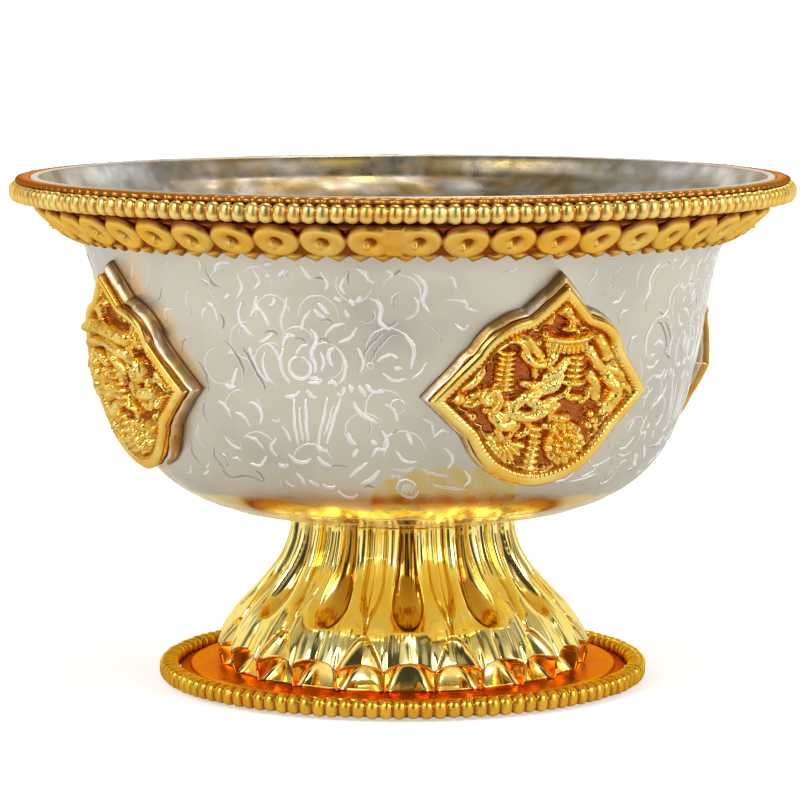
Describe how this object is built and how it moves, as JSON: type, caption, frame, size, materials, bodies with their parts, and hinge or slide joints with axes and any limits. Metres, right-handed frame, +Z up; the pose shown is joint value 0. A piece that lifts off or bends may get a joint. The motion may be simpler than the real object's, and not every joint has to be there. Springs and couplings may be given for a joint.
{
  "type": "water offering bowl",
  "caption": "Footed silver bowl with gilt beaded rim, ring frieze, barbed relief plaques, petalled foot and round beaded base, for water offerings on a shrine.",
  "frame": {"origin": "on the floor, under the middle of the base plate", "axes": "+Z up the axis of the bowl, -Y towards the front of the picture, +X to its right"},
  "size_m": [0.1142, 0.1142, 0.074],
  "materials": {
    "silver": "satin silver, finely engraved outside, polished inside",
    "strip_silver": "hammered silver with worn gilding",
    "gilt": "bright polished gilding",
    "matt_gilt": "matt olive-yellow gilding",
    "copper_gilt": "thin reddish gilding over copper",
    "plain_brass": "plain turned brass"
  },
  "bodies": {
    "root": {"base_plate": "copper_gilt", "base_bead_wire": "gilt", "foot_shell": "gilt", "foot_neck_disc": "plain_brass", "bowl_stud": "plain_brass", "stud_washer": "plain_brass", "stud_nut": "plain_brass", "bowl_shell": "silver", "rim_bead_wire": "gilt", "rim_cap_strip": "gilt", "collar_band": "matt_gilt", "collar_ring_frieze": "matt_gilt", "plaque_strip_front_right": "strip_silver", "plaque_strip_back_right": "strip_silver", "plaque_strip_back_left": "strip_silver", "plaque_strip_front_left": "strip_silver", "plaque_relief_front_right": "gilt", "plaque_relief_back_right": "gilt", "plaque_relief_back_left": "gilt", "plaque_relief_front_left": "gilt"}
  },
  "joints": []
}
